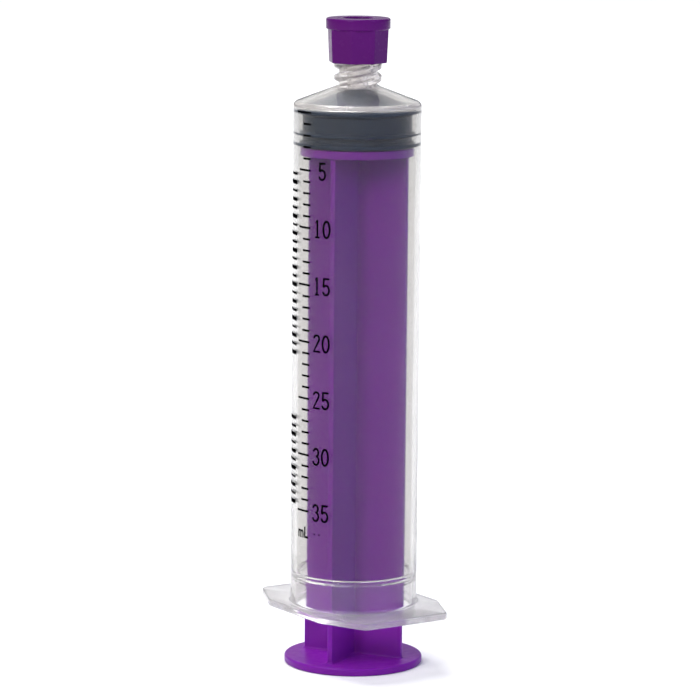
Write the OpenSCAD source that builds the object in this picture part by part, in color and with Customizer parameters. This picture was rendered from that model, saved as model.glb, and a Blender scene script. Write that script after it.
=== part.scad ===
// Oral syringe for enteral feeds, 35 mL, with a screw tip cap.
// It stands on its thumb rest, pushed fully in. +Z points to the tip, and the
// origin is the middle of the thumb rest's underside. All sizes are millimetres.

/* [Plunger rod] */
// Radius of the thumb rest
rest_r = 14.05; // [13.5:0.05:16]
// Thickness of the thumb rest
rest_h = 1.6; // [1.2:0.1:2.4]
// Distance from the axis to the edge of each rib
rib_r = 10.9; // [9:0.1:10.9]
// Thickness of the ribs
rib_w = 1.1; // [0.8:0.1:2]
// How far the cross of ribs is turned from the X axis, in degrees
cross_angle = -25.6; // [-45:0.1:45]
// Radius of the guide disc under the stopper
guide_r = 11.4; // [11.3:0.05:11.6]
// Thickness of the guide disc
guide_h = 1.7; // [1.2:0.1:2.5]

/* [Stopper] */
// Height of the stopper's underside
stopper_z = 105.9; // [105.9:0.1:106.2]
// Radius of the rubber between the sealing ribs
stopper_r = 10.95; // [10.4:0.05:11.3]
// Radial gap between a sealing rib and the bore
seal_gap = 0.04; // [0.02:0.01:0.1]

/* [Barrel] */
// Outer radius of the barrel
barrel_r = 12.88; // [12.7:0.02:13.4]
// Radius of the bore
bore_r = 11.77; // [11.7:0.01:11.9]
// Height of the barrel's open end, which is the flange's underside
mouth_z = 11.25; // [8:0.05:14]
// Height of the zero line
zero_z = 113.2; // [113:0.1:113.4]
// Rise of the shoulder cone, as height over radius
shoulder_rise = 0.38; // [0.34:0.01:0.44]
// Inner radius of the bead that keeps the plunger in
bead_r = 11.15; // [11.1:0.01:11.25]

/* [Finger flange] */
// Thickness of the flange
flange_h = 1.5; // [1.2:0.1:2.5]
// Distance from the axis to the flange's two ends
flange_l = 19.8; // [18:0.1:24]
// Distance from the axis to the flange's two long sides
flange_w = 14.55; // [14:0.05:17]
// Half the length of each end edge
end_half = 9.8; // [7:0.1:11]
// Half the length of each long side
side_half = 9.4; // [7:0.1:12]
// Radius of the flange's corners
corner_r = 1.6; // [0.5:0.1:3]
// Direction of the flange's long axis, in degrees from the X axis
flange_angle = -57; // [-90:1:90]

/* [Threaded tip] */
// Radius of the tip at the foot of the thread
tip_r = 3.8; // [3.6:0.05:4]
// Radius of the thread's crest
crest_r = 4.78; // [4.5:0.02:4.9]
// Height of the end of the tip
tip_top = 128.1; // [127.5:0.1:128.2]
// Radius of the socket in the tip
socket_r = 2.85; // [2.8:0.05:3]
// Rise of the two-start thread in one turn
lead = 5; // [4.5:0.1:5.5]

/* [Tip cap] */
// Radius of the cap's rim
rim_r = 6.45; // [6.2:0.01:7]
// Height of the cap's top face
cap_top = 131.5; // [130.8:0.1:132]
// Height of the cap's lower edge
cap_bottom = 122.55; // [122:0.05:123.5]
// Corner radius of the eight-sided skirt at its lower edge
skirt_low_r = 5.98; // [5.7:0.02:6.2]
// Corner radius of the eight-sided skirt under the rim
skirt_high_r = 6.28; // [6:0.02:6.3]

/* [Print] */
// Volume at the last line, in millilitres
capacity = 35; // [5:5:35]
// Width of a line
line_w = 0.42; // [0.2:0.02:0.6]
// Height of a numeral
digit_h = 3.7; // [2.5:0.1:4.5]
// Width of a numeral
digit_w = 1.85; // [1.2:0.05:2]
// Width of a pen stroke in the numerals
stroke = 0.4; // [0.2:0.02:0.5]
// Thickness of the ink
ink_h = 0.03; // [0.02:0.01:0.04]

/* [Hidden] */
$fn = 128;

// Plunger rod, and the gaps round its neck and head inside the stopper
rest_edge = 0.35;
guide_gap = 0.1;
guide_z = stopper_z - guide_gap - guide_h;
neck_r = 3.6;
head_r = 5.2;
head_z = stopper_z + 2.75;
head_h = 1.9;
neck_gap = 0.08;
head_gap_r = 0.1;
head_gap_z = 0.15;

// Stopper
seal_r = bore_r - seal_gap;
nose_r = 9.2;
nose_flat_r = 1.5;
nose_z = zero_z + 0.4;

// Barrel
ml_h = 1000 / (PI * bore_r * bore_r);
shoulder_in_z = zero_z + 0.55;
shoulder_out_z = shoulder_in_z + 1.1;
shoulder_out_r = barrel_r - 0.58;
tip_foot_z = shoulder_out_z + (shoulder_out_r - tip_r) * shoulder_rise;
channel_r = 1.4;
channel_z = shoulder_in_z + (bore_r - channel_r) * shoulder_rise;
socket_z = tip_top - 7.9;
mouth_r = bore_r + 0.2;
bead_z = mouth_z + 7.05;
bead_h = 0.8;
step_z = mouth_z + 11.05;
step_r = bore_r + 0.04;

// Threads: the crest's width and the foot's width of each ridge
pitch = lead / 2;
ridge_foot_w = 2.05;
ridge_crest_w = 0.68;
ridge_phase_z = 118.3;
ridge_top_z = tip_top - 1.1;
cap_thread_r = 4.98;
cap_crest_r = 4.05;
cap_foot_w = 1.78;
cap_crest_w = 0.5;
ridge_sink = 0.15;
ridge_steps = 36;
cap_ridge_turns = 0.55;

// Tip cap
rim_z = cap_top - 2.1;
ceiling_z = tip_top + 0.3;
cap_turn = -13;
recess_r = 2.95;
recess_z = cap_top - 1.4;
plug_r = 2.65;
plug_z = 122.9;
plug_bore_r = 1.5;
plug_bore_z = 124;
plug_gap = 0.03;

// Print: directions are degrees from the X axis, seen from the tip
front = -90;
line_right = front - 45.6;
minor_span = 10.3;
major_span = 16.4;
zero_span = 22;
numeral_angle = front - 32.3;
numeral_gap = 0.3;
unit_angle = front - 53.1;
unit_z = zero_z - capacity * ml_h - 4.4;
unit_h = 2.3;
m_left = -1.4;
m_arch_r = 0.36;
l_left = 0.75;
l_right = 1.6;
dot_angles = [front - 38.3, front - 32.9];
side_angle = front - 78;
side_span = 22;
side_groups = [[64.5, 22], [34, 11]];
side_step = 1.72;
side_bars = [1.2, 0.7, 1.1, 0.5];

plunger_colour = [0.49, 0.14, 0.65];
cap_colour = [0.36, 0.1, 0.44];
rubber_colour = [0.22, 0.24, 0.3];
clear_colour = [0.86, 0.88, 0.86, 0.35];
ink_colour = [0.05, 0.05, 0.06];

// The corner p between points a and b, rounded by a circle of radius r: the
// circle's middle, and the two points at which it touches the edges
function unit(v) = v / norm(v);
function half_turn(p, a, b) = acos(unit(a - p) * unit(b - p)) / 2;
function corner_middle(p, a, b, r) = p + unit(unit(a - p) + unit(b - p)) * r / sin(half_turn(p, a, b));
function corner_ends(p, a, b, r) =
    let (d = r / tan(half_turn(p, a, b)))
    [p + unit(a - p) * d, p + unit(b - p) * d];

// A convex outline with every corner rounded to radius r
module rounded_outline(corners, r) {
    n = len(corners);
    function before(i) = corners[(i + n - 1) % n];
    function after(i) = corners[(i + 1) % n];
    polygon([for (i = [0:n - 1]) each corner_ends(corners[i], before(i), after(i), r)]);
    for (i = [0:n - 1])
        translate(corner_middle(corners[i], before(i), after(i), r))
            circle(r);
}

// One start of a thread: a tapered ridge that climbs a helix for some turns.
// It grows from nothing and fades out again over the first and last steps.
module ridge(foot_r, top_r, foot_w, top_w, z, angle, turns) {
    steps = round(turns * ridge_steps);
    side = top_r > foot_r ? 1 : -1;
    fade = 5;
    function height(i) = min(1, (i + 1) / fade, (steps - i + 1) / fade);
    function ring(i) =
        let (a = angle + 360 * i / ridge_steps)
        let (mid = z + lead * i / ridge_steps)
        let (r = foot_r + (top_r - foot_r) * height(i))
        let (low = side * foot_w / 2, high = side * (foot_w + (top_w - foot_w) * height(i)) / 2)
        [[foot_r * cos(a), foot_r * sin(a), mid - low],
         [r * cos(a), r * sin(a), mid - high],
         [r * cos(a), r * sin(a), mid + high],
         [foot_r * cos(a), foot_r * sin(a), mid + low]];
    points = [for (i = [0:steps]) each ring(i)];
    last = 4 * steps;
    sides = [for (i = [0:steps - 1], j = [0:3])
        let (a = 4 * i + j, b = 4 * i + (j + 1) % 4)
        each [[b + 4, a + 4, a], [b + 4, a, b]]];
    ends = [[3, 2, 1, 0], [last, last + 1, last + 2, last + 3]];
    polyhedron(points, concat(sides, ends));
}

// Ridges of both starts, with their middle at the given height at the front
module two_starts(foot_r, top_r, foot_w, top_w, z, turns) {
    for (start = [0, 1])
        ridge(foot_r, top_r, foot_w, top_w, z, front + 180 * start, turns);
}

// Lays flat artwork on the barrel, upright, centred at an angle and a height
module on_barrel(angle, z) {
    intersection() {
        rotate([90, 0, angle + 90])
            translate([0, z, 0])
                linear_extrude(barrel_r + 1)
                    children();
        difference() {
            cylinder(h = tip_top, r = barrel_r + ink_h);
            translate([0, 0, -1])
                cylinder(h = tip_top + 2, r = barrel_r);
        }
    }
}

// A bar printed round the barrel, from its right end, by degrees
module ring_bar(right, span, z, w) {
    rotate(right - span)
        rotate_extrude(angle = span)
            translate([barrel_r, z - w / 2])
                square([ink_h, w]);
}

// An upright block with round ends
module pill(w, h) {
    translate([-w / 2, -(h - w) / 2])
        square([w, h - w]);
    for (end = [-1, 1])
        translate([0, end * (h - w) / 2])
            circle(w / 2);
}

// A pen line between two points, with round ends
module pen(a, b) {
    length = norm(b - a);
    translate((a + b) / 2)
        rotate(atan2(b[1] - a[1], b[0] - a[0]) - 90)
            pill(stroke, length + stroke);
}

// A pen arc about a middle point: its radii across and up, and its two angles
module pen_arc(middle, across, up, from, to) {
    steps = 8;
    function at(i) =
        let (a = from + (to - from) * i / steps)
        middle + [across * cos(a), up * sin(a)];
    for (i = [1:steps])
        pen(at(i - 1), at(i));
}

// One numeral, centred on the origin
module digit(d) {
    w = digit_w - stroke;
    h = digit_h - stroke;
    bowl = w / 2;
    if (d == 0) {
        difference() {
            pill(digit_w, digit_h);
            pill(digit_w - 2 * stroke, digit_h - 2 * stroke);
        }
    }
    if (d == 1) {
        pen([0, -h / 2], [0, h / 2]);
        pen([0, h / 2], [-w * 0.4, h * 0.32]);
        pen([-w * 0.4, -h / 2], [w * 0.4, -h / 2]);
    }
    if (d == 2) {
        pen_arc([0, h * 0.28], bowl, h * 0.22, 170, -20);
        pen([bowl * 0.94, h * 0.205], [-bowl, -h / 2]);
        pen([-bowl, -h / 2], [bowl, -h / 2]);
    }
    if (d == 3) {
        pen_arc([0, h * 0.26], bowl * 0.9, h * 0.24, 160, -80);
        pen_arc([0, -h * 0.24], bowl, h * 0.26, 80, -160);
    }
    if (d == 5) {
        pen([-bowl * 0.8, h / 2], [bowl * 0.8, h / 2]);
        pen([-bowl * 0.8, h / 2], [-bowl * 0.9, h * 0.04]);
        pen_arc([0, -h * 0.21], bowl, h * 0.29, 130, -155);
    }
}

module numeral(value) {
    tens = floor(value / 10);
    shift = (digit_w + numeral_gap) / 2;
    if (tens > 0) {
        translate([-shift, 0])
            digit(tens);
        translate([shift, 0])
            digit(value % 10);
    } else {
        digit(value);
    }
}

// Rod with its thumb rest, crossed ribs, guide disc and the head that holds the stopper
module plunger_rod() {
    color(plunger_colour) {
        rotate_extrude()
            polygon([[0, 0], [rest_r - rest_edge, 0], [rest_r, rest_edge],
                     [rest_r, rest_h - rest_edge], [rest_r - rest_edge, rest_h], [0, rest_h]]);
        for (turn = [0, 90])
            rotate(cross_angle + turn)
                translate([-rib_r, -rib_w / 2, rest_h / 2])
                    cube([2 * rib_r, rib_w, guide_z + guide_h / 2 - rest_h / 2]);
        translate([0, 0, guide_z])
            cylinder(h = guide_h, r = guide_r);
        translate([0, 0, guide_z])
            cylinder(h = head_z + head_h / 2 - guide_z, r = neck_r);
        translate([0, 0, head_z])
            cylinder(h = head_h, r = head_r);
    }
}

module stopper() {
    color(rubber_colour)
        difference() {
            rotate_extrude()
                polygon([[0, stopper_z], [seal_r - 0.3, stopper_z],
                         [seal_r, stopper_z + 0.2], [seal_r, stopper_z + 0.95],
                         [stopper_r, stopper_z + 1.25], [stopper_r, stopper_z + 2.15],
                         [seal_r, stopper_z + 2.4], [seal_r, stopper_z + 2.85],
                         [stopper_r, stopper_z + 3.15], [stopper_r, zero_z - 0.8],
                         [seal_r, zero_z - 0.5], [seal_r, zero_z + 0.1], [nose_r, nose_z],
                         [nose_flat_r, nose_z + (nose_r - nose_flat_r) * shoulder_rise],
                         [0, nose_z + (nose_r - nose_flat_r) * shoulder_rise]]);
            translate([0, 0, stopper_z - 1])
                cylinder(h = head_z - stopper_z + 1, r = neck_r + neck_gap);
            translate([0, 0, head_z - head_gap_z])
                cylinder(h = head_h + 2 * head_gap_z, r = head_r + head_gap_r);
        }
}

module flange() {
    corners = [[flange_l, -end_half], [flange_l, end_half], [side_half, flange_w],
               [-side_half, flange_w], [-flange_l, end_half], [-flange_l, -end_half],
               [-side_half, -flange_w], [side_half, -flange_w]];
    translate([0, 0, mouth_z])
        rotate(flange_angle)
            linear_extrude(flange_h)
                rounded_outline(corners, corner_r);
}

// The space inside the barrel: open mouth, bead, bore, shoulder, channel and socket
module barrel_space() {
    rotate_extrude()
        polygon([[0, mouth_z - 1], [mouth_r + 0.3, mouth_z - 1], [mouth_r + 0.3, mouth_z],
                 [mouth_r, mouth_z + 0.3], [mouth_r, bead_z - 0.8], [bore_r, bead_z - 0.6],
                 [bore_r, bead_z - 0.3], [bead_r, bead_z],
                 [bead_r, bead_z + bead_h - 0.3], [step_r, bead_z + bead_h],
                 [step_r, step_z], [bore_r, step_z + 0.2], [bore_r, shoulder_in_z],
                 [channel_r, channel_z], [channel_r, socket_z], [socket_r, socket_z],
                 [socket_r, tip_top + 1], [0, tip_top + 1]]);
}

module barrel() {
    color(clear_colour)
        difference() {
            union() {
                rotate_extrude()
                    polygon([[0, mouth_z], [barrel_r, mouth_z], [barrel_r, shoulder_out_z - 0.9],
                             [barrel_r - 0.18, shoulder_out_z - 0.3],
                             [shoulder_out_r, shoulder_out_z], [tip_r, tip_foot_z],
                             [tip_r, tip_top - 0.3], [tip_r - 0.3, tip_top], [0, tip_top]]);
                flange();
                two_starts(tip_r - ridge_sink, crest_r, ridge_foot_w, ridge_crest_w,
                           ridge_phase_z, (ridge_top_z - ridge_phase_z) / lead);
            }
            barrel_space();
        }
}

// Cap shell: rim, eight-sided skirt and the inside thread
module tip_cap() {
    phase_z = ridge_phase_z + 2.5 * pitch;
    color(cap_colour) {
        difference() {
            union() {
                translate([0, 0, cap_bottom])
                    rotate(front + cap_turn)
                        cylinder(h = rim_z - cap_bottom, r1 = skirt_low_r, r2 = skirt_high_r, $fn = 8);
                rotate_extrude()
                    polygon([[0, rim_z], [rim_r, rim_z], [rim_r, cap_top - 0.3],
                             [rim_r - 0.3, cap_top], [0, cap_top]]);
            }
            translate([0, 0, cap_bottom - 1])
                cylinder(h = ceiling_z - cap_bottom + 1, r = cap_thread_r);
            translate([0, 0, ceiling_z - 1])
                cylinder(h = recess_z - ceiling_z + 2, r = plug_r + plug_gap);
            translate([0, 0, recess_z])
                cylinder(h = cap_top - recess_z + 1, r = recess_r);
        }
        two_starts(cap_thread_r + ridge_sink, cap_crest_r, cap_foot_w, cap_crest_w, phase_z, cap_ridge_turns);
    }
}

// Hollow plug in the middle of the cap, which closes the tip's socket
module cap_plug() {
    color(cap_colour)
        difference() {
            translate([0, 0, plug_z])
                cylinder(h = recess_z - plug_z, r = plug_r);
            translate([0, 0, plug_bore_z])
                cylinder(h = recess_z - plug_bore_z + 1, r = plug_bore_r);
        }
}

module scale_lines() {
    color(ink_colour)
        for (ml = [0:capacity]) {
            span = ml == 0 ? zero_span : (ml % 5 == 0 ? major_span : minor_span);
            ring_bar(line_right, span, zero_z - ml * ml_h, line_w);
        }
}

module scale_numerals() {
    color(ink_colour)
        for (ml = [5:5:capacity])
            on_barrel(numeral_angle, zero_z - ml * ml_h)
                numeral(ml);
}

// The letters m and L, and two dots to their right
module unit_mark() {
    foot = -unit_h / 2;
    stem_h = unit_h * 0.5;
    color(ink_colour) {
        on_barrel(unit_angle, unit_z) {
            for (x = [m_left, m_left + 2 * m_arch_r, m_left + 4 * m_arch_r])
                pen([x, foot], [x, foot + stem_h]);
            for (x = [m_left + m_arch_r, m_left + 3 * m_arch_r])
                pen_arc([x, foot + stem_h], m_arch_r, m_arch_r, 0, 180);
            pen([l_left, foot], [l_left, -foot]);
            pen([l_left, foot], [l_right, foot]);
        }
        for (angle = dot_angles)
            on_barrel(angle, unit_z)
                circle(stroke / 2);
    }
}

// Two rows of plain bars beside the scale
module side_print() {
    color(ink_colour)
        for (group = side_groups, i = [0:group[1] - 1]) {
            w = side_bars[i % len(side_bars)];
            ring_bar(side_angle + side_span / 2, side_span * (0.7 + 0.3 * (i % 3) / 2),
                     group[0] + i * side_step, w);
        }
}

plunger_rod();
stopper();
barrel();
tip_cap();
cap_plug();
scale_lines();
scale_numerals();
unit_mark();
side_print();
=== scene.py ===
import math

import bmesh
import bpy
import numpy as np
from mathutils import Matrix, Vector


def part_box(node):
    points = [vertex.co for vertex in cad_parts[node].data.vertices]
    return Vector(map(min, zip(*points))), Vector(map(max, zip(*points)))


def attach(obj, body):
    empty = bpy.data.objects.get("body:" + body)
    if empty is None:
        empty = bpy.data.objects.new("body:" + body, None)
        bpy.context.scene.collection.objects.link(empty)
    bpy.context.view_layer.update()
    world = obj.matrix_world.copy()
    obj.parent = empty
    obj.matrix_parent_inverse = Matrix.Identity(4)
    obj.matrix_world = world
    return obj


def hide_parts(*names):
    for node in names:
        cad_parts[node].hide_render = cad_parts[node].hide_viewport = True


# The looks of a 35 mL oral syringe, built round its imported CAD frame.
# Sizes are in millimetres, in the part's own frame, until a mesh is made.
MM = 0.001
# Points round each turned shape, and the angle of each from +X
SEGMENTS = 256
ANGLES = np.arange(SEGMENTS) * 2 * math.pi / SEGMENTS
# The side that faces the camera
FRONT = math.radians(-90)
# Anything smaller counts as zero
TINY = 1e-6

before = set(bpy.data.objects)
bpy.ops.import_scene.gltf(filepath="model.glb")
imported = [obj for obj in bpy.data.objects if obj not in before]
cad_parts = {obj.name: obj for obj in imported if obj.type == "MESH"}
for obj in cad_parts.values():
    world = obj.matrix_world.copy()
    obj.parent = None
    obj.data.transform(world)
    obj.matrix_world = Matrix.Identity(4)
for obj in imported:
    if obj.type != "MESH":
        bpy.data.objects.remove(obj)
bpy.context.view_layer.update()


def levels(node):
    """A CAD node's lowest and highest point along the axis, in millimetres."""
    low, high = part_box(node)
    return low.z / MM, high.z / MM


def half_width(node):
    """Half of a round CAD node's width, in millimetres."""
    low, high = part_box(node)
    return (high.x - low.x) / 2 / MM


FLOOR_Z, HEAD_TOP = levels("plunger_rod")
STOPPER_Z, NOSE_TOP = levels("stopper")
MOUTH_Z, TIP_TOP = levels("barrel")
CAP_BOTTOM, CAP_TOP = levels("tip_cap")
PLUG_Z, PLUG_TOP = levels("cap_plug")
LINES_TOP = levels("scale_lines")[1]
REST_R = half_width("plunger_rod")
SEAL_R = half_width("stopper")
RIM_R = half_width("tip_cap")

# Barrel
SEAL_GAP = 0.04
WALL = 1.11
BORE_R = SEAL_R + SEAL_GAP
BARREL_R = BORE_R + WALL
LINE_W = 0.42
ZERO_Z = LINES_TOP - LINE_W / 2
ML = 1000 / (math.pi * BORE_R**2)
SHOULDER_RISE = 0.38
SHOULDER_IN_Z = ZERO_Z + 0.55
SHOULDER_OUT_Z = SHOULDER_IN_Z + 1.1
SHOULDER_OUT_R = BARREL_R - 0.58
FLANGE_TOP = MOUTH_Z + 1.5
MOUTH_R = BORE_R + 0.2
BEAD_Z, BEAD_R = MOUTH_Z + 7.05, BORE_R - 0.6
STEP_Z, STEP_R = MOUTH_Z + 11.1, BORE_R + 0.04
FLANGE_L, FLANGE_W = 19.8, 14.55
END_HALF, SIDE_HALF = 9.8, 9.4
FLANGE_ANGLE = math.radians(-57)
CORNER_R = 1.6
FLANGE_EDGE_R = 0.4

# Threaded tip
TIP_R, CREST_R = 3.8, 4.78
TIP_FOOT_Z = SHOULDER_OUT_Z + (SHOULDER_OUT_R - TIP_R) * SHOULDER_RISE
SOCKET_R, SOCKET_Z = 2.85, TIP_TOP - 7.9
CHANNEL_R = 1.4
CHANNEL_Z = SHOULDER_IN_Z + (BORE_R - CHANNEL_R) * SHOULDER_RISE
LEAD, PITCH = 5.0, 2.5
RIDGE_Z = 118.3
RIDGE_FOOT, RIDGE_CREST = 2.05, 0.68
RING_STEP = 0.09

# Plunger rod, and the stopper with its gaps round the rod's neck and head
REST_H, REST_EDGE_R = 1.6, 0.45
RIB_R, RIB_W = 10.9, 1.1
CROSS_ANGLE = math.radians(-25.6)
GUIDE_R, GUIDE_H = 11.4, 1.7
GUIDE_GAP, GUIDE_EDGE_R = 0.1, 0.3
GUIDE_Z = STOPPER_Z - GUIDE_GAP - GUIDE_H
NECK_R, HEAD_R = 3.6, 5.2
HEAD_Z = HEAD_TOP - 1.9
NECK_GAP, HEAD_GAP_R, HEAD_GAP_Z = 0.08, 0.1, 0.15
NOSE_R, NOSE_FLAT_R = 9.2, 1.5
WAIST_R = 10.95
SEAL_PRESS = 0.02

# Tip cap
RIM_Z = CAP_TOP - 2.1
CAP_TURN = math.radians(-13)
SKIRT_SIDES = 8
SKIRT_LOW_R, SKIRT_HIGH_R = 5.98, 6.28
SKIRT_CORNER_R = 0.5
CAP_BORE_R, CAP_RIDGE_H = 4.98, 0.93
CAP_RIDGE_FOOT, CAP_RIDGE_CREST = 1.78, 0.5
CAP_BORE_TOP = 127.4

# Print: places round the barrel are in degrees from the front, and spans are in degrees.
# A row of side bars is the height of its first bar, and how many bars it has.
CAPACITY = 35
NUMERAL_STEP = 5
LINES_RIGHT = -45.6
ZERO_SPAN, MAJOR_SPAN, MINOR_SPAN = 22, 16.4, 10.3
NUMERALS_AT = -32.3
UNIT_AT, UNIT_DROP = -53.1, 4.4
DOTS_AT, DOT_R = (-38.3, -32.9), 0.2
BARS_RIGHT, BAR_SPAN = -67, 22
BAR_ROWS = ((64.5, 22), (34, 11))
BAR_STEP = 1.72
BAR_HEIGHTS = (0.8, 0.5, 0.7, 0.4)
INK_IN, INK_OUT = 0.004, 0.026
STRIP = 0.45
STROKE = 0.44
DIGIT_W, DIGIT_H, DIGIT_GAP = 1.85, 3.7, 0.3


# ---------------------------------------------------------------- mesh tools

def rounded(corners, closed=False, steps=6):
    """A path through corners (x, y, radius), with each corner turned into an arc."""
    path = []
    count = len(corners)
    for i, (x, y, radius) in enumerate(corners):
        here = np.array([x, y], float)
        is_end = not closed and i in (0, count - 1)
        if radius <= 0 or is_end:
            path.append(here)
            continue
        back = np.array(corners[i - 1][:2], float) - here
        ahead = np.array(corners[(i + 1) % count][:2], float) - here
        u, v = back / np.linalg.norm(back), ahead / np.linalg.norm(ahead)
        half = math.acos(np.clip(u @ v, -1, 1)) / 2
        longest = 0.49 * min(np.linalg.norm(back), np.linalg.norm(ahead))
        reach = min(radius / math.tan(half), longest)
        radius = reach * math.tan(half)
        middle = here + (u + v) / np.linalg.norm(u + v) * radius / math.sin(half)
        start, end = here + u * reach - middle, here + v * reach - middle
        turn = math.pi - 2 * half
        side = 1 if start[0] * end[1] - start[1] * end[0] > 0 else -1
        for k in range(steps + 1):
            a = side * turn * k / steps
            c, s = math.cos(a), math.sin(a)
            path.append(middle + [start[0] * c - start[1] * s, start[0] * s + start[1] * c])
    return path


def rounded_outline(edges, radius):
    """Distance from the axis to a convex outline at each of ANGLES. An edge is its
    normal's direction and its distance, and the corners between have a radius."""
    edges = sorted(edges)
    found = np.full(SEGMENTS, np.inf)
    for direction, distance in edges:
        cosine = np.cos(ANGLES - direction)
        reach = np.where(cosine > TINY, distance / np.maximum(cosine, TINY), np.inf)
        found = np.minimum(found, reach)
    for i, (a, da) in enumerate(edges):
        b, db = edges[(i + 1) % len(edges)]
        normals = np.array([[math.cos(a), math.sin(a)], [math.cos(b), math.sin(b)]])
        middle = np.linalg.solve(normals, [da - radius, db - radius])
        ends = [middle + radius * n for n in normals]
        low, high = (math.atan2(p[1], p[0]) for p in ends)
        span = (high - low) % (2 * math.pi)
        on_arc = (ANGLES - low) % (2 * math.pi) <= span
        ways = np.stack([np.cos(ANGLES), np.sin(ANGLES)], 1)
        along = ways @ middle
        arc = along + np.sqrt(np.maximum(radius**2 - middle @ middle + along**2, 0))
        found = np.where(on_arc, arc, found)
    return found


def finish_mesh(name, vertices, faces, body, nodes, slot, material, sharp=40):
    """A shaded piece that rides on a body and stands for some CAD nodes."""
    mesh = bpy.data.meshes.new(name)
    mesh.from_pydata([tuple(v) for v in np.asarray(vertices) * MM], [], faces)
    mesh.validate()
    mesh.polygons.foreach_set("use_smooth", [True] * len(mesh.polygons))
    mesh.set_sharp_from_angle(angle=math.radians(sharp))
    piece = bpy.data.objects.new(name, mesh)
    bpy.context.scene.collection.objects.link(piece)
    mesh.materials.append(material)
    if body:
        place(piece, body, nodes)
    return piece


def place(piece, body, nodes):
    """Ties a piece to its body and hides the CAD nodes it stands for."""
    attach(piece, body)
    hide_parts(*nodes)


def skin(rings, closed):
    """Vertices and faces through rings of (radius or radii, height). An end ring
    of radius 0 is a single point. A closed skin joins its last ring to its first."""
    vertices, rows = [], []
    for radii, height in rings:
        row = len(vertices)
        if np.isscalar(radii) and radii == 0:
            vertices.append((0, 0, height))
            rows.append([row] * SEGMENTS)
            continue
        radii = np.broadcast_to(radii, SEGMENTS)
        vertices += [(r * math.cos(a), r * math.sin(a), height) for r, a in zip(radii, ANGLES)]
        rows.append(list(range(row, row + SEGMENTS)))
    faces = []
    pairs = list(zip(rows, rows[1:])) + ([(rows[-1], rows[0])] if closed else [])
    for low, high in pairs:
        for j in range(SEGMENTS):
            k = (j + 1) % SEGMENTS
            corners = [low[j], low[k], high[k], high[j]]
            faces.append(list(dict.fromkeys(corners)))
    return vertices, faces


def lathe(corners):
    """Vertices and faces of a turned shape, from corners (radius, height, fillet)."""
    path = rounded(corners)
    return skin([(float(r) if r > TINY else 0, float(z)) for r, z in path], closed=False)


# ----------------------------------------------------------------- materials

def new_material(name):
    """A new node material, its node tree and its shader."""
    material = bpy.data.materials.new(name)
    material.use_nodes = True
    tree = material.node_tree
    return material, tree, tree.nodes["Principled BSDF"]


def noise(tree, scale, detail):
    """A noise pattern fixed to the piece, and scale is in repeats per metre."""
    coordinates = tree.nodes.new("ShaderNodeTexCoord")
    pattern = tree.nodes.new("ShaderNodeTexNoise")
    pattern.inputs["Scale"].default_value = scale
    pattern.inputs["Detail"].default_value = detail
    tree.links.new(coordinates.outputs["Object"], pattern.inputs["Vector"])
    return pattern.outputs["Fac"]


def spread(tree, source, low, high):
    """A value that runs from low to high as a noise pattern does."""
    ramp = tree.nodes.new("ShaderNodeMapRange")
    ramp.inputs["From Min"].default_value = 0.3
    ramp.inputs["From Max"].default_value = 0.7
    ramp.inputs["To Min"].default_value = low
    ramp.inputs["To Max"].default_value = high
    tree.links.new(source, ramp.inputs["Value"])
    return ramp.outputs["Result"]


def two_colours(tree, source, dark, light):
    """A colour between dark and light, as a noise pattern goes. The Mix node has
    several sockets of each name, so its colour sockets go by number."""
    mix = tree.nodes.new("ShaderNodeMix")
    mix.data_type = "RGBA"
    mix.inputs[6].default_value = (*dark, 1)
    mix.inputs[7].default_value = (*light, 1)
    tree.links.new(source, mix.inputs[0])
    return mix.outputs[2]


def bump(tree, source, height):
    """A bump of a height in metres."""
    node = tree.nodes.new("ShaderNodeBump")
    node.inputs["Distance"].default_value = height
    tree.links.new(source, node.inputs["Height"])
    return node.outputs["Normal"]


PLASTIC_IOR = 1.49


def moulded_plastic(name, dark, light, gloss, haze, shine):
    """Moulded plastic: faint flow marks in its colour, and a fine satin surface."""
    material, tree, shader = new_material(name)
    flow = noise(tree, 90, 3)
    grain = noise(tree, 1800, 2)
    tree.links.new(two_colours(tree, flow, dark, light), shader.inputs["Base Color"])
    tree.links.new(spread(tree, noise(tree, 700, 3), gloss, gloss + 0.1),
                   shader.inputs["Roughness"])
    tree.links.new(bump(tree, grain, 5e-7), shader.inputs["Normal"])
    shader.inputs["IOR"].default_value = PLASTIC_IOR
    shader.inputs["Specular IOR Level"].default_value = shine
    shader.inputs["Subsurface Weight"].default_value = haze
    shader.inputs["Subsurface Radius"].default_value = (0.0008, 0.0003, 0.0018)
    shader.inputs["Subsurface Scale"].default_value = 1
    return material


def rubber():
    """Dark blue-grey rubber with a fine grain."""
    material, tree, shader = new_material("stopper_rubber")
    tone = noise(tree, 260, 4)
    grain = noise(tree, 3800, 3)
    tree.links.new(two_colours(tree, tone, (0.009, 0.018, 0.038), (0.013, 0.024, 0.048)),
                   shader.inputs["Base Color"])
    tree.links.new(spread(tree, grain, 0.34, 0.5), shader.inputs["Roughness"])
    tree.links.new(bump(tree, grain, 6e-7), shader.inputs["Normal"])
    shader.inputs["Specular IOR Level"].default_value = 0.2
    return material


def clear_plastic(name, dark, light, smooth, rough, clearness, shade):
    """Clear polypropylene: it bends light, and is slightly milky and uneven."""
    material, tree, shader = new_material(name)
    tree.links.new(two_colours(tree, noise(tree, 160, 3), dark, light),
                   shader.inputs["Base Color"])
    tree.links.new(spread(tree, noise(tree, 900, 3), smooth, rough), shader.inputs["Roughness"])
    tree.links.new(bump(tree, noise(tree, 120, 2), 1.2e-5), shader.inputs["Normal"])
    shader.inputs["IOR"].default_value = PLASTIC_IOR
    shader.inputs["Specular Tint"].default_value = (0.3, 0.3, 0.3, 1)
    shader.inputs["Transmission Weight"].default_value = clearness
    let_lamps_through(tree, shader, shade)
    return material


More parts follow.
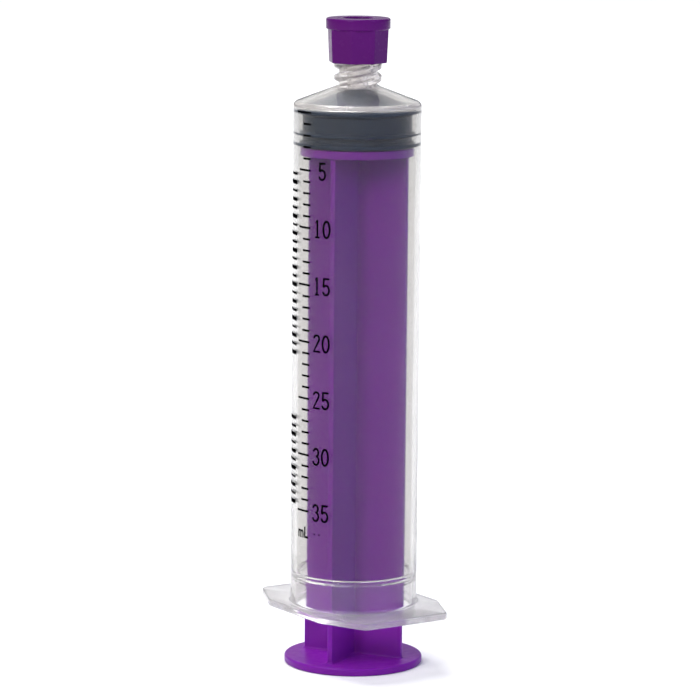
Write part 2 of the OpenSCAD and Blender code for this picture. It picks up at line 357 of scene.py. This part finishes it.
def let_lamps_through(tree, shader, shade):
    """Lamps light what is behind the clear plastic, less the share that each face stops."""
    path = tree.nodes.new("ShaderNodeLightPath")
    passing = tree.nodes.new("ShaderNodeBsdfTransparent")
    mix = tree.nodes.new("ShaderNodeMixShader")
    passing.inputs["Color"].default_value = (1 - shade, 1 - shade, 1 - shade, 1)
    tree.links.new(path.outputs["Is Shadow Ray"], mix.inputs[0])
    tree.links.new(shader.outputs[0], mix.inputs[1])
    tree.links.new(passing.outputs[0], mix.inputs[2])
    tree.links.new(mix.outputs[0], tree.nodes["Material Output"].inputs["Surface"])


def ink():
    """Matt black ink."""
    material, tree, shader = new_material("black_ink")
    speck = noise(tree, 3000, 3)
    tree.links.new(two_colours(tree, speck, (0.001, 0.001, 0.0012), (0.003, 0.003, 0.0036)),
                   shader.inputs["Base Color"])
    tree.links.new(spread(tree, speck, 0.6, 0.8), shader.inputs["Roughness"])
    shader.inputs["Specular IOR Level"].default_value = 0.0
    return material


def pale_floor():
    """Plain matt floor."""
    material, tree, shader = new_material("pale_floor")
    tree.links.new(two_colours(tree, noise(tree, 3, 2), (0.95, 0.95, 0.95), (0.97, 0.97, 0.97)),
                   shader.inputs["Base Color"])
    shader.inputs["Roughness"].default_value = 0.7
    shader.inputs["Specular IOR Level"].default_value = 0.1
    return material


PLUNGER = moulded_plastic("plunger_plastic", (0.158, 0.0095, 0.275), (0.184, 0.0115, 0.312),
                          gloss=0.3, haze=0.35, shine=0.1)
CAP = moulded_plastic("cap_plastic", (0.076, 0.0052, 0.111), (0.095, 0.007, 0.138),
                      gloss=0.2, haze=0.0, shine=0.06)
RUBBER = rubber()
CLEAR = clear_plastic("clear_polypropylene", (0.68, 0.668, 0.65), (0.71, 0.698, 0.68),
                      smooth=0.05, rough=0.09, clearness=0.985, shade=0.02)
CONE = clear_plastic("shoulder_polypropylene", (0.84, 0.825, 0.80), (0.88, 0.865, 0.84),
                     smooth=0.05, rough=0.10, clearness=0.95, shade=0.03)
HAZY = clear_plastic("hazy_polypropylene", (0.83, 0.815, 0.83), (0.88, 0.865, 0.88),
                     smooth=0.06, rough=0.12, clearness=0.91, shade=0.06)
MILKY = clear_plastic("milky_polypropylene", (0.82, 0.805, 0.81), (0.87, 0.855, 0.86),
                      smooth=0.14, rough=0.22, clearness=0.88, shade=0.6)
# Also put on the outside of the shoulder's corner, where its paleness is painted brightness for
# light bent through that corner.
TIP = clear_plastic("tip_polypropylene", (0.84, 0.80, 0.77), (0.88, 0.84, 0.81),
                    smooth=0.1, rough=0.16, clearness=0.76, shade=0.15)
INK = ink()

# The barrel's grades of plastic, in the order of its material slots
GRADES = (CLEAR, HAZY, MILKY, CONE, TIP)


# -------------------------------------------------------------------- pieces

def flange_edges(inset):
    """The flange's eight edges, as normal direction and distance from the axis."""
    slant = math.atan2(FLANGE_L - SIDE_HALF, FLANGE_W - END_HALF)
    across = FLANGE_L * math.cos(slant) + END_HALF * math.sin(slant)
    quarter = [(0, FLANGE_L), (slant, across), (math.pi / 2, FLANGE_W), (math.pi - slant, across)]
    half = quarter + [(a + math.pi, d) for a, d in quarter]
    return [((a + FLANGE_ANGLE) % (2 * math.pi), d - inset) for a, d in half]


def flange_ring(inset, height):
    """A ring of the flange's outline, drawn in by an inset."""
    return rounded_outline(flange_edges(inset), CORNER_R - inset), height


def edge_rings(ring, low, high, radius):
    """Rings up a plate's edge that is rounded by a radius above and below."""
    steps = 5
    rings = []
    for k in range(steps + 1):
        a = math.pi / 2 * k / steps
        rings.append(ring(radius * (1 - math.sin(a)), low + radius * (1 - math.cos(a))))
    for k in range(steps + 1):
        a = math.pi / 2 * k / steps
        rings.append(ring(radius * (1 - math.cos(a)), high - radius * (1 - math.sin(a))))
    return rings


def off_ridge(height, ridge_z):
    """How far the nearest ridge of a two-start thread is, up or down, at each angle."""
    middle = ridge_z + LEAD * (ANGLES - FRONT) / (2 * math.pi)
    return np.abs((height - middle + PITCH / 2) % PITCH - PITCH / 2)


def thread_radii(height):
    """Radius at each angle of the ridges on the tip, which fade out near its end."""
    fade_end, fade = TIP_TOP - 0.5, 0.7
    off = off_ridge(height, RIDGE_Z)
    share = np.clip((RIDGE_FOOT / 2 - off) / (RIDGE_FOOT / 2 - RIDGE_CREST / 2), 0, 1)
    share = share * share * (3 - 2 * share)
    share *= np.clip((fade_end - height) / fade, 0, 1)
    return TIP_R + (CREST_R - TIP_R) * share


def tip_rings():
    """Rings from the shoulder's cone up the threaded tip."""
    rings = []
    for height in np.arange(TIP_FOOT_Z - 1.3, TIP_TOP - 0.3, RING_STEP):
        cone = SHOULDER_OUT_R - (height - SHOULDER_OUT_Z) / SHOULDER_RISE
        rings.append((np.maximum(thread_radii(height), cone), float(height)))
    return rings


def grade_at(z, radius):
    """The grade of plastic that the barrel has at a height and a distance from the axis, with
    painted brightness on the outside of the shoulder's corner.
    """
    # The outside of the shoulder's corner takes the tip's paler, milkier grade. It is painted
    # brightness that stands in for light bent through the thick corner.
    bright_painted_corner = SHOULDER_IN_Z - 0.2 < z < SHOULDER_OUT_Z + 0.1 and radius > BORE_R + 0.1
    if z > TIP_FOOT_Z - 0.6 or bright_painted_corner:
        return TIP
    if z > SHOULDER_IN_Z - 0.2:
        return CONE
    if z < FLANGE_TOP + 0.2:
        return MILKY
    if z < BEAD_Z + 0.8:
        return HAZY
    return CLEAR


def build_barrel():
    """Flange, tube, shoulder and tip, and then back down the inside, as one closed skin."""
    cone_foot = 3.4
    outside = rounded([(BARREL_R + 2, FLANGE_TOP, 0), (BARREL_R, FLANGE_TOP, 0.5),
                       (BARREL_R, SHOULDER_OUT_Z - 0.55, 1.2),
                       (SHOULDER_OUT_R, SHOULDER_OUT_Z, 0.8),
                       (TIP_R + cone_foot, TIP_FOOT_Z - cone_foot * SHOULDER_RISE, 0)], steps=8)
    inside = rounded([(TIP_R, TIP_TOP - 0.9, 0), (TIP_R, TIP_TOP, 0.3), (SOCKET_R, TIP_TOP, 0.25),
                      (SOCKET_R - 0.12, SOCKET_Z, 0.2), (CHANNEL_R, SOCKET_Z, 0.1),
                      (CHANNEL_R, CHANNEL_Z, 0.3), (BORE_R, SHOULDER_IN_Z, 0.5),
                      (BORE_R, STEP_Z + 0.1, 0.3), (STEP_R, STEP_Z - 0.1, 0.3),
                      (STEP_R, BEAD_Z + 0.9, 0.2), (BEAD_R, BEAD_Z + 0.6, 0.35),
                      (BEAD_R, BEAD_Z + 0.1, 0.35), (BORE_R, BEAD_Z - 0.4, 0.2),
                      (BORE_R, BEAD_Z - 0.7, 0.2), (MOUTH_R, BEAD_Z - 1.0, 0.2),
                      (MOUTH_R, MOUTH_Z + 0.3, 0.3), (MOUTH_R + 0.35, MOUTH_Z, 0.1),
                      (MOUTH_R + 0.8, MOUTH_Z, 0)])
    rings = edge_rings(flange_ring, MOUTH_Z, FLANGE_TOP, FLANGE_EDGE_R)
    rings += [(float(r), float(z)) for r, z in outside[1:-1]]
    rings += tip_rings()
    rings += [(float(r), float(z)) for r, z in inside[1:]]
    vertices, faces = skin(rings, closed=True)
    piece = finish_mesh("barrel_moulding", vertices, faces, "barrel_body", ["barrel"],
                        "barrel_plastic", CLEAR, sharp=50)
    for plastic in GRADES[1:]:
        piece.data.materials.append(plastic)
    for face in piece.data.polygons:
        radius = math.hypot(face.center.x, face.center.y) / MM
        face.material_index = GRADES.index(grade_at(face.center.z / MM, radius))


def build_stopper():
    """Rubber stopper. Its ribs press a little into the bore, so that they show wet."""
    seal = BORE_R + SEAL_PRESS
    z = STOPPER_Z
    pocket_r, hole_r = HEAD_R + HEAD_GAP_R, NECK_R + NECK_GAP
    pocket_low, pocket_high = HEAD_Z - HEAD_GAP_Z, HEAD_TOP + HEAD_GAP_Z
    corners = [(0, pocket_high, 0), (pocket_r, pocket_high, 0.3), (pocket_r, pocket_low, 0.2),
               (hole_r, pocket_low, 0.1), (hole_r, z, 0.1), (SEAL_R - 0.35, z, 0.15),
               (seal, z + 0.25, 0.15), (seal, z + 0.9, 0.15), (WAIST_R, z + 1.3, 0.25),
               (WAIST_R, z + 2.1, 0.25), (seal, z + 2.42, 0.12), (seal, z + 2.83, 0.12),
               (WAIST_R, z + 3.2, 0.3), (WAIST_R, ZERO_Z - 0.9, 0.35), (seal, ZERO_Z - 0.52, 0.12),
               (seal, ZERO_Z + 0.1, 0.15), (NOSE_R, ZERO_Z + 0.4, 0.6),
               (NOSE_FLAT_R, NOSE_TOP, 0.6), (0, NOSE_TOP, 0)]
    vertices, faces = lathe(corners)
    finish_mesh("stopper_rubber", vertices, faces, "seal", ["stopper"], "stopper_rubber", RUBBER)


def cross_outline(reach, half, fillet):
    """Points round a cross of four ribs, with rounded ends and filleted corners."""
    rib_edge_r = 0.22
    arm = ((reach, -half, rib_edge_r), (reach, half, rib_edge_r), (half, half, fillet))
    corners = []
    for k in range(4):
        c, s = math.cos(k * math.pi / 2), math.sin(k * math.pi / 2)
        for x, y, r in arm:
            corners.append((x * c - y * s, x * s + y * c, r))
    return rounded(corners, closed=True, steps=4)


def build_cross():
    """The crossed ribs, which spread in a small fillet where they meet the discs."""
    foot_fillet, top_fillet, inner_fillet = 0.55, 0.4, 0.35
    sunk = 0.2
    stations = [(REST_H - sunk, foot_fillet)]
    for k in range(7):
        a = math.pi / 2 * k / 6
        stations.append((REST_H + foot_fillet * (1 - math.cos(a)), foot_fillet * (1 - math.sin(a))))
    stations += [(GUIDE_Z - top_fillet * (1 - k / 4), top_fillet * (k / 4) ** 2) for k in range(5)]
    stations.append((GUIDE_Z + sunk, top_fillet))
    rows = [[(x, y, z) for x, y in
             cross_outline(RIB_R + 0.5 * out, RIB_W / 2 + out, inner_fillet + out)]
            for z, out in stations]
    count = len(rows[0])
    vertices = [v for row in rows for v in row]
    faces = [[i * count + j, i * count + (j + 1) % count,
              (i + 1) * count + (j + 1) % count, (i + 1) * count + j]
             for i in range(len(rows) - 1) for j in range(count)]
    faces.append(list(range(count))[::-1])
    faces.append([(len(rows) - 1) * count + j for j in range(count)])
    c, s = math.cos(CROSS_ANGLE), math.sin(CROSS_ANGLE)
    turned = [(x * c - y * s, x * s + y * c, z) for x, y, z in vertices]
    return turned, faces


def join_solids(piece, others):
    """Adds other closed meshes to a piece as one solid, and removes them."""
    for other in others:
        joint = piece.modifiers.new("join", "BOOLEAN")
        joint.operation = "UNION"
        joint.solver = "EXACT"
        joint.object = other
    depsgraph = bpy.context.evaluated_depsgraph_get()
    mesh = bpy.data.meshes.new_from_object(piece.evaluated_get(depsgraph), depsgraph=depsgraph)
    piece.modifiers.clear()
    piece.data = mesh
    mesh.polygons.foreach_set("use_smooth", [True] * len(mesh.polygons))
    mesh.set_sharp_from_angle(angle=math.radians(40))
    for other in others:
        bpy.data.objects.remove(other)


def build_plunger():
    """Thumb rest, crossed ribs, guide disc, neck and head, joined into one solid."""
    middle_r = 3
    rest = [(0, FLOOR_Z, 0), (REST_R, FLOOR_Z, REST_EDGE_R), (REST_R, REST_H, REST_EDGE_R),
            (middle_r, REST_H, 0), (0, REST_H, 0)]
    head = [(0, GUIDE_Z, 0), (GUIDE_R, GUIDE_Z, GUIDE_EDGE_R),
            (GUIDE_R, GUIDE_Z + GUIDE_H, GUIDE_EDGE_R), (NECK_R, GUIDE_Z + GUIDE_H, 0.2),
            (NECK_R, HEAD_Z, 0.2), (HEAD_R, HEAD_Z, 0.3), (HEAD_R, HEAD_TOP, 0.6),
            (0, HEAD_TOP, 0)]
    vertices, faces = lathe(rest)
    piece = finish_mesh("plunger_moulding", vertices, faces, None, [], "", PLUNGER)
    others = [finish_mesh(name, *solid, None, [], "", PLUNGER)
              for name, solid in (("cross", build_cross()), ("head", lathe(head)))]
    join_solids(piece, others)
    place(piece, "plunger", ["plunger_rod"])


def skirt_ring(radius, height):
    """A ring of the cap's eight-sided skirt, from its corner radius."""
    step = 360 / SKIRT_SIDES
    reach = radius * math.cos(math.pi / SKIRT_SIDES)
    edges = [((FRONT + CAP_TURN + math.radians(step / 2 + step * k)) % (2 * math.pi), reach)
             for k in range(SKIRT_SIDES)]
    return rounded_outline(edges, SKIRT_CORNER_R), height


def inside_thread_ring(height):
    """A ring of the cap's inside wall. Its ridges lie between the tip's ridges, and
    they fade out at both ends."""
    fade = 0.6
    off = off_ridge(height, RIDGE_Z + PITCH / 2)
    share = np.clip((CAP_RIDGE_FOOT / 2 - off) / (CAP_RIDGE_FOOT / 2 - CAP_RIDGE_CREST / 2), 0, 1)
    above = np.clip((height - CAP_BOTTOM - 0.2) / fade, 0, 1)
    below = np.clip((CAP_BORE_TOP - height) / fade, 0, 1)
    share *= above * below
    return CAP_BORE_R - CAP_RIDGE_H * share, height


def skirt_at(height):
    """A ring of the skirt at a height, as it widens towards the rim."""
    share = (height - CAP_BOTTOM) / (RIM_Z - CAP_BOTTOM)
    return skirt_ring(SKIRT_LOW_R + (SKIRT_HIGH_R - SKIRT_LOW_R) * share, height)


def build_cap():
    """Skirt, rim and top, and then back down the inside thread, as one closed skin."""
    ceiling = TIP_TOP + 0.3
    edge_r, neck_r, flare = 0.25, 6.15, 0.2
    rim_foot_r = 6.32
    recess_low_r, recess_high_r, plug_hole_r = 2.95, 3.05, 2.68
    lowest_r, inside_foot_r = 5.2, 5.0
    thread_start, thread_step = 127.3, 0.12
    rings = [(lowest_r, CAP_BOTTOM)]
    rings += [skirt_ring(SKIRT_LOW_R - edge_r * (1 - math.sin(a)),
                         CAP_BOTTOM + edge_r * (1 - math.cos(a)))
              for a in np.linspace(0, math.pi / 2, 5)]
    rings += [skirt_at(float(z)) for z in np.linspace(CAP_BOTTOM + 0.5, RIM_Z - 0.25, 6)]
    rings += [(np.maximum(skirt_at(RIM_Z)[0], neck_r + flare * k / 3),
               RIM_Z - flare + flare * k / 3)
              for k in range(4)]
    top = rounded([(rim_foot_r, RIM_Z, 0), (RIM_R, RIM_Z, 0.15), (RIM_R, CAP_TOP, 0.4),
                   (recess_high_r, CAP_TOP, 0.3), (recess_low_r, PLUG_TOP, 0.15),
                   (plug_hole_r, PLUG_TOP, 0), (plug_hole_r, ceiling, 0),
                   (CAP_BORE_R, ceiling, 0.2), (CAP_BORE_R, CAP_BORE_TOP, 0)])
    rings += [(float(r), float(z)) for r, z in top[1:]]
    rings += [inside_thread_ring(float(z))
              for z in np.arange(thread_start, CAP_BOTTOM + 0.1, -thread_step)]
    rings.append((inside_foot_r, CAP_BOTTOM + 0.08))
    vertices, faces = skin(rings, closed=True)
    finish_mesh("cap_moulding", vertices, faces, "cap_shell", ["tip_cap"],
                "cap_plastic", CAP, sharp=35)


def build_plug():
    """Hollow plug in the middle of the cap."""
    plug_r, lip_r = 2.65, 2.66
    bore_top_r, bore_foot_r, bore_z = 1.5, 1.4, 124
    corners = [(0, PLUG_Z, 0), (plug_r, PLUG_Z, 0.5), (plug_r, PLUG_TOP - 0.1, 0),
               (lip_r, PLUG_TOP, 0), (bore_top_r, PLUG_TOP, 0.25),
               (bore_foot_r, bore_z, 0.4), (0, bore_z, 0)]
    vertices, faces = lathe(corners)
    finish_mesh("cap_plug_moulding", vertices, faces, "cap_core", ["cap_plug"], "cap_plastic", CAP)


# --------------------------------------------------------------------- print

def flat_box(sheet, left, right, low, high):
    """A rectangle on a flat sheet: x runs round the barrel, and y along it."""
    corners = [sheet.verts.new((x, y, 0)) for x, y in
               ((left, low), (right, low), (right, high), (left, high))]
    sheet.faces.new(corners)


def flat_words(sheet, words, x, y, width, height):
    """Type of a given width and height on a flat sheet, with its middle at x, y."""
    bolder = 0.03
    curve = bpy.data.curves.new("type", "FONT")
    curve.body = words
    curve.resolution_u = 5
    curve.offset = bolder
    holder = bpy.data.objects.new("type", curve)
    bpy.context.scene.collection.objects.link(holder)
    depsgraph = bpy.context.evaluated_depsgraph_get()
    mesh = bpy.data.meshes.new_from_object(holder.evaluated_get(depsgraph), depsgraph=depsgraph)
    points = np.array([v.co[:2] for v in mesh.vertices])
    low, high = points.min(0), points.max(0)
    scale = np.array([width, height]) / (high - low)
    placed = (points - (low + high) / 2) * scale + [x, y]
    made = [sheet.verts.new((px, py, 0)) for px, py in placed]
    for face in mesh.polygons:
        sheet.faces.new([made[i] for i in face.vertices])
    bpy.data.objects.remove(holder)
    bpy.data.curves.remove(curve)
    bpy.data.meshes.remove(mesh)


def arc(x, y, across, up, start, end, steps=14):
    """Points on an arc about x, y, by its two radii and its angles in degrees."""
    turns = [math.radians(start + (end - start) * k / steps) for k in range(steps + 1)]
    return [(x + across * math.cos(a), y + up * math.sin(a)) for a in turns]


def pen_line(sheet, path, closed=False):
    """A line of the numerals' width along a path on a flat sheet, with round ends."""
    longest_mitre = 1.35
    points = [np.array(p) for p in path]
    count = len(points)
    half = STROKE / 2
    pairs = []
    for i, here in enumerate(points):
        back = points[i - 1] if closed or i else here
        ahead = points[(i + 1) % count] if closed or i < count - 1 else here
        ways = [w / np.linalg.norm(w) for w in (here - back, ahead - here) if np.linalg.norm(w) > 0]
        along = sum(ways) / np.linalg.norm(sum(ways))
        normal = np.array([-along[1], along[0]])
        reach = half * min(longest_mitre, 1 / max(abs(along @ ways[0]), 0.1))
        pairs.append([sheet.verts.new((*(here + side * reach * normal), 0)) for side in (1, -1)])
    for i in range(count if closed else count - 1):
        (a, b), (c, d) = pairs[i], pairs[(i + 1) % count]
        sheet.faces.new([a, b, d, c])
    if closed:
        return
    for (left, right), away in ((pairs[0], points[0] - points[1]),
                                (pairs[-1], points[-1] - points[-2])):
        middle = (left.co + right.co) / 2
        arm = left.co - middle
        out = Vector((*(away / np.linalg.norm(away) * half), 0))
        cap = [sheet.verts.new(middle + arm * math.cos(a) + out * math.sin(a))
               for a in np.linspace(0, math.pi, 7)[1:-1]]
        sheet.faces.new([left, *cap, right])


def draw_digit(sheet, digit, x, y):
    """One numeral with its middle at x, y. Each is a single pen line, apart from the 1.
    That is an outline with a flag and a foot, cut into convex faces that share corners."""
    w, h = DIGIT_W / 2 - STROKE / 2, DIGIT_H / 2 - STROKE / 2
    if digit == 0:
        pen_line(sheet, arc(x, y, w, h, 0, 360, 36)[:-1], closed=True)
    if digit == 1:
        t, f = STROKE / 2, h + STROKE / 2
        foot = -f + 1.7 * t
        corners = [(-0.8 * w, -f), (-t, -f), (t, -f), (0.8 * w, -f), (0.8 * w, foot), (t, foot),
                   (-t, foot), (-0.8 * w, foot), (t, f), (-t * 0.5, f), (-t, 0.72 * f),
                   (-0.72 * w, 0.76 * f), (-0.72 * w, 0.58 * f)]
        made = [sheet.verts.new((x + px, y + py, 0)) for px, py in corners]
        for face in ((0, 1, 6, 7), (1, 2, 5, 6), (2, 3, 4, 5), (6, 5, 8, 9, 10), (10, 9, 11, 12)):
            sheet.faces.new([made[i] for i in face])
    if digit == 2:
        bend = arc(x, y + h - 0.92 * w, w * 0.92, w * 0.92, 165, -28)
        pen_line(sheet, bend + [(x - w, y - h), (x + w, y - h)])
    if digit == 3:
        pen_line(sheet, arc(x, y + h * 0.52, w * 0.86, h * 0.48, 155, -75)
                 + arc(x, y - h * 0.46, w, h * 0.54, 78, -155))
    if digit == 5:
        pen_line(sheet, [(x + w * 0.8, y + h), (x - w * 0.72, y + h), (x - w * 0.85, y + h * 0.1)]
                 + arc(x - w * 0.05, y - h * 0.4, w, h * 0.6, 130, -152))


def print_on_barrel(sheet, name, node):
    """Cuts a flat sheet into strips, gives it the ink's thickness and wraps it."""
    bmesh.ops.triangulate(sheet, faces=[f for f in sheet.faces if len(f.verts) > 4])
    xs = [v.co.x for v in sheet.verts]
    for x in np.arange(min(xs) + STRIP / 2, max(xs), STRIP):
        parts = sheet.verts[:] + sheet.edges[:] + sheet.faces[:]
        bmesh.ops.bisect_plane(sheet, geom=parts, plane_co=(x, 0, 0), plane_no=(1, 0, 0),
                               dist=1e-5)
    bmesh.ops.recalc_face_normals(sheet, faces=sheet.faces)
    for face in sheet.faces:
        if face.normal.z < 0:
            face.normal_flip()
    grown = bmesh.ops.extrude_face_region(sheet, geom=sheet.faces[:])
    bottom = set(sheet.verts) - {v for v in grown["geom"] if isinstance(v, bmesh.types.BMVert)}
    for v in sheet.verts:
        radius = BARREL_R + (INK_IN if v in bottom else INK_OUT)
        angle = v.co.x / BARREL_R
        v.co = (radius * math.cos(angle), radius * math.sin(angle), v.co.y)
    bmesh.ops.recalc_face_normals(sheet, faces=sheet.faces)
    sheet.verts.index_update()
    vertices = [tuple(v.co) for v in sheet.verts]
    faces = [[v.index for v in f.verts] for f in sheet.faces]
    sheet.free()
    finish_mesh(name, vertices, faces, "barrel_body", [node], "ink", INK, sharp=30)


def at_degrees(from_front):
    """Distance round the barrel of an angle measured from the front."""
    return BARREL_R * (FRONT + math.radians(from_front))


def line_height(ml):
    """Height of the scale line of a volume."""
    return ZERO_Z - ml * ML


def build_lines():
    """One line a millilitre, longer at each numeral and longest at zero."""
    sheet = bmesh.new()
    right = at_degrees(LINES_RIGHT)
    for ml in range(CAPACITY + 1):
        span = ZERO_SPAN if ml == 0 else (MAJOR_SPAN if ml % NUMERAL_STEP == 0 else MINOR_SPAN)
        z = line_height(ml)
        flat_box(sheet, at_degrees(LINES_RIGHT - span), right, z - LINE_W / 2, z + LINE_W / 2)
    print_on_barrel(sheet, "scale_line_print", "scale_lines")


def build_numerals():
    """The volume beside each longer line."""
    sheet = bmesh.new()
    for ml in range(NUMERAL_STEP, CAPACITY + 1, NUMERAL_STEP):
        digits = [int(d) for d in str(ml)]
        for i, digit in enumerate(digits):
            shift = (i - (len(digits) - 1) / 2) * (DIGIT_W + DIGIT_GAP)
            draw_digit(sheet, digit, at_degrees(NUMERALS_AT) + shift, line_height(ml))
    print_on_barrel(sheet, "scale_numeral_print", "scale_numerals")


def build_unit_mark():
    """The unit under the last line, and two dots beside it."""
    sheet = bmesh.new()
    z = line_height(CAPACITY) - UNIT_DROP
    flat_words(sheet, "mL", at_degrees(UNIT_AT), z, width=3.3, height=2.35)
    for angle in DOTS_AT:
        x = at_degrees(angle)
        ring = [sheet.verts.new((x + DOT_R * math.cos(a), z + DOT_R * math.sin(a), 0))
                for a in np.linspace(0, 2 * math.pi, 16, endpoint=False)]
        sheet.faces.new(ring)
    print_on_barrel(sheet, "unit_mark_print", "unit_mark")


def build_side_print():
    """Plain bars in two rows beside the scale."""
    sheet = bmesh.new()
    right = at_degrees(BARS_RIGHT)
    for start, count in BAR_ROWS:
        for i in range(count):
            span = BAR_SPAN * (0.7 + 0.3 * (i % 3) / 2)
            z = start + i * BAR_STEP
            half = BAR_HEIGHTS[i % len(BAR_HEIGHTS)] / 2
            flat_box(sheet, at_degrees(BARS_RIGHT - span), right, z - half, z + half)
    print_on_barrel(sheet, "side_bar_print", "side_print")


# --------------------------------------------------------------------- studio

def build_floor():
    """A wide floor under the thumb rest, in metres."""
    mesh = bpy.data.meshes.new("floor")
    half = 12.0
    mesh.from_pydata([(-half, -half, 0), (half, -half, 0), (half, half, 0), (-half, half, 0)],
                     [], [(0, 1, 2, 3)])
    mesh.materials.append(pale_floor())
    floor = bpy.data.objects.new("floor", mesh)
    bpy.context.scene.collection.objects.link(floor)


LAMP_WHITE = (1, 0.975, 0.95)
COOL_WHITE = (0.62, 0.68, 1)


def area_light(name, position, aim, width, height, power, colour=LAMP_WHITE):
    """A rectangular lamp that points at its aim, with its sizes in metres and its power
    in watts."""
    light = bpy.data.lights.new(name, "AREA")
    light.shape = "RECTANGLE"
    light.size, light.size_y = width, height
    light.energy = power
    light.color = colour
    lamp = bpy.data.objects.new(name, light)
    bpy.context.scene.collection.objects.link(lamp)
    lamp.location = position
    lamp.rotation_euler = (Vector(aim) - Vector(position)).to_track_quat("-Z", "Y").to_euler()


def sun_light(name, source, angle, power):
    """A far light from the direction of a point, as soft as its angle is wide."""
    light = bpy.data.lights.new(name, "SUN")
    light.angle = math.radians(angle)
    light.energy = power
    lamp = bpy.data.objects.new(name, light)
    bpy.context.scene.collection.objects.link(lamp)
    lamp.rotation_euler = (-Vector(source)).to_track_quat("-Z", "Y").to_euler()


def build_lights():
    """A soft sun overhead, a key lamp at the left, a cool fill at the right, and a wide
    lamp behind."""
    world = bpy.data.worlds.new("studio")
    bpy.context.scene.world = world
    world.use_nodes = True
    background = world.node_tree.nodes["Background"]
    background.inputs["Color"].default_value = (0.8, 0.87, 1, 1)
    background.inputs["Strength"].default_value = 0.17
    sun_light("overhead", (-0.2, 0.15, 1.0), 36, 3.0)
    middle = (0, 0, 0.06)
    area_light("key", (-0.7, -1.2, 0.9), middle, 0.5, 0.5, 12.5)
    area_light("fill", (1.2, -0.75, 0.75), middle, 0.7, 0.7, 7, COOL_WHITE)
    area_light("back", (0, 1.5, 0.95), middle, 2.2, 1.3, 7)


def allow_more_bounces():
    """Light passes many clear faces in the shoulder, which is too dark without this."""
    cycles = bpy.context.scene.cycles
    cycles.max_bounces = 32
    cycles.glossy_bounces = 24
    cycles.transmission_bounces = 24


def build_camera():
    """A long lens in front of the syringe, a little above it and looking down."""
    tilt, pan, roll = (math.radians(x) for x in (9.029, -0.084, 0.473))
    forward = Vector((math.sin(pan) * math.cos(tilt), math.cos(pan) * math.cos(tilt),
                      -math.sin(tilt)))
    right = Vector((math.cos(pan), -math.sin(pan), 0))
    up = right.cross(forward)
    right_r = right * math.cos(roll) + up * math.sin(roll)
    up_r = up * math.cos(roll) - right * math.sin(roll)
    camera = bpy.data.cameras.new("camera")
    camera.sensor_width = 36
    camera.lens = 196
    camera.clip_start, camera.clip_end = 0.05, 60
    holder = bpy.data.objects.new("camera", camera)
    bpy.context.scene.collection.objects.link(holder)
    turn = Matrix((right_r, up_r, -forward)).transposed().to_4x4()
    holder.matrix_world = Matrix.Translation((0, -0.7611, 0.1853)) @ turn
    bpy.context.scene.camera = holder


build_camera()
build_floor()
build_lights()
allow_more_bounces()
bpy.context.scene.view_settings.view_transform = "Standard"

build_plunger()
build_stopper()
build_barrel()
build_cap()
build_plug()
build_lines()
build_numerals()
build_unit_mark()
build_side_print()

bpy.context.view_layer.update()
